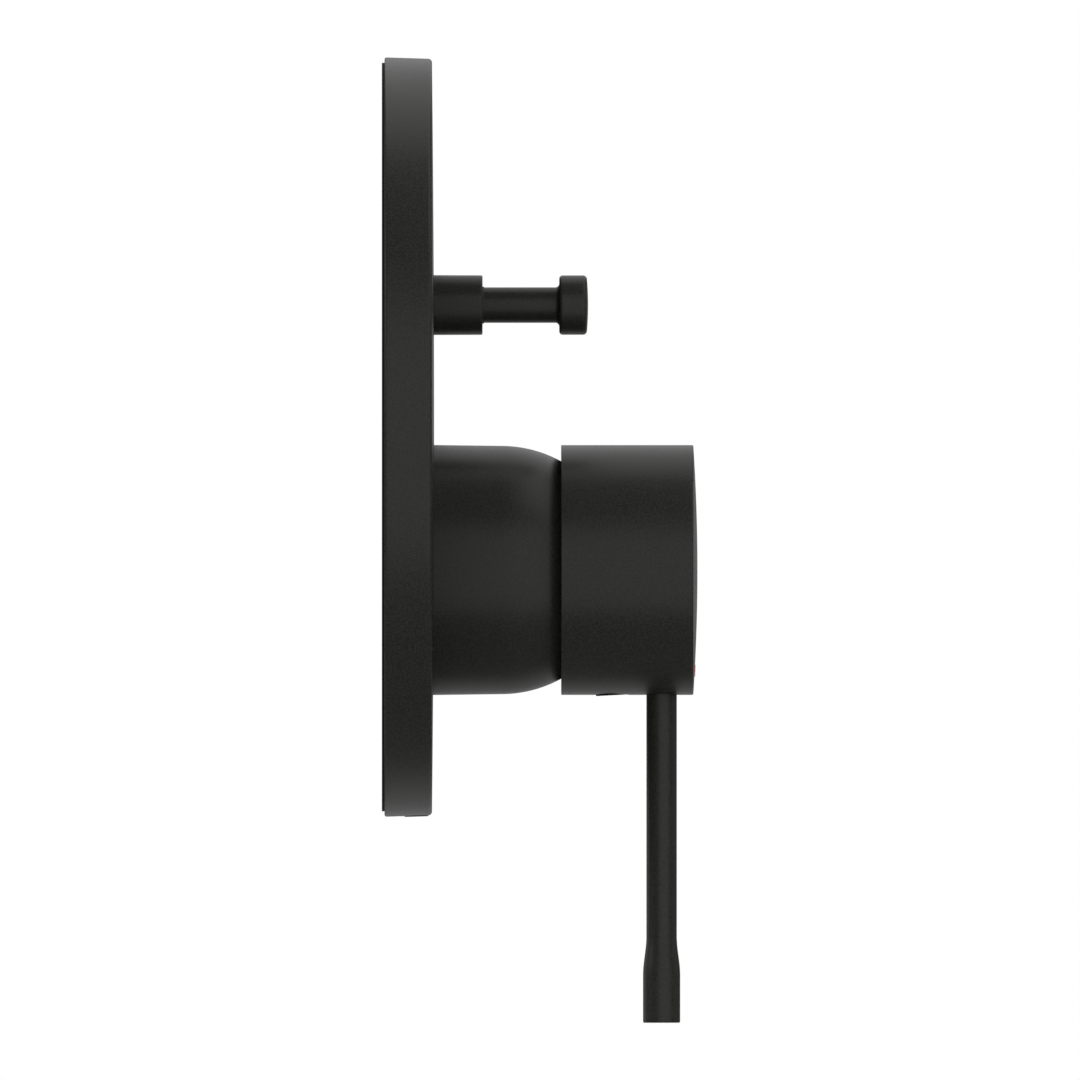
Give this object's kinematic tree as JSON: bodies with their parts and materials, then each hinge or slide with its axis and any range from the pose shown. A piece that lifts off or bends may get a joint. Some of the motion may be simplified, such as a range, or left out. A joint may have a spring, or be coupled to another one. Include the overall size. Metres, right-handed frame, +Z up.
{
  "type": "single-lever shower mixer trim with pull diverter",
  "caption": "Matt black wall-mounted shower mixer: round plate, ball-nosed sleeve, cap with pin lever that tilts and turns, and a diverter knob that pulls out.",
  "frame": {"origin": "centre of the round plate on the wall plane, at the back of the wall seal", "axes": "+Z up, +Y into the wall, so the valve stands out along -Y and the lever hangs along -Z; +X is to the right for someone who faces it"},
  "size_m": [0.158, 0.0657, 0.2009],
  "materials": {
    "black_coating": "satin matt black coating",
    "seal_rubber": "dull black",
    "plug_rubber": "dull black",
    "carrier_plastic": "moulded",
    "casting_brass": "cast and turned, plain",
    "turned_brass": "turned",
    "screw_steel": "bright stainless steel",
    "spring_steel": "drawn wire",
    "cartridge_plastic": "moulded",
    "rotor_plastic": "moulded",
    "ring_plastic": "moulded",
    "disc_ceramic": "lapped white ceramic",
    "hot_enamel": "red enamel",
    "cold_enamel": "blue enamel",
    "bush_plastic": "self-lubricating black plastic"
  },
  "bodies": {
    "root": {"wall_seal": "seal_rubber", "escutcheon": "black_coating", "plate_grub_screw": "black_coating", "carrier_plate": "carrier_plastic", "body_screws": "screw_steel", "valve_body": "casting_brass", "port_seals": "seal_rubber", "cartridge_base": "cartridge_plastic", "base_seals": "seal_rubber", "fixed_disc": "disc_ceramic", "cartridge_case": "cartridge_plastic", "cartridge_nut": "turned_brass", "sleeve": "black_coating", "sleeve_seal": "seal_rubber", "plate_ring": "seal_rubber", "collar": "black_coating", "collar_seal": "seal_rubber", "diverter_barrel": "turned_brass", "stem_seal": "seal_rubber", "diverter_bush": "bush_plastic"},
    "swivel": {"cartridge_rotor": "rotor_plastic", "pivot_pin": "screw_steel", "stop_ring": "ring_plastic"},
    "handle": {"lever_spindle": "turned_brass", "handle_cap": "black_coating", "lever_rod": "black_coating", "handle_screw": "screw_steel", "screw_plug": "plug_rubber", "hot_mark": "hot_enamel", "cold_mark": "cold_enamel"},
    "mixing_disc": {"moving_disc": "disc_ceramic", "disc_carrier": "cartridge_plastic"},
    "diverter_pull": {"diverter_knob": "black_coating", "neck_clip": "spring_steel", "diverter_stem": "screw_steel", "diverter_washer": "seal_rubber", "tail_clip": "spring_steel", "diverter_spring": "spring_steel"}
  },
  "joints": [
    {"name": "handle_swivel", "type": "hinge", "parent": "root", "child": "swivel", "pos_m": [0, -0.02485, -0.02766], "axis": [0, -1, 0], "range_deg": [-45, 45]},
    {"name": "handle_tilt", "type": "hinge", "parent": "swivel", "child": "handle", "pos_m": [0, -0.02485, -0.02766], "axis": [-1, 0, 0], "range_deg": [0, 20]},
    {"name": "disc_slide", "type": "slide", "parent": "swivel", "child": "mixing_disc", "axis": [0, 0, -1], "range_m": [0, 0.0026]},
    {"name": "diverter_travel", "type": "slide", "parent": "root", "child": "diverter_pull", "axis": [0, -1, 0], "range_m": [0, 0.0044], "stiffness_N_per_m": 120, "springref_m": -0.004, "deforming": ["diverter_spring"]}
  ],
  "couplings": [
    {"joint": "disc_slide", "follows": "handle_tilt", "m_per_rad": 0.00735}
  ]
}
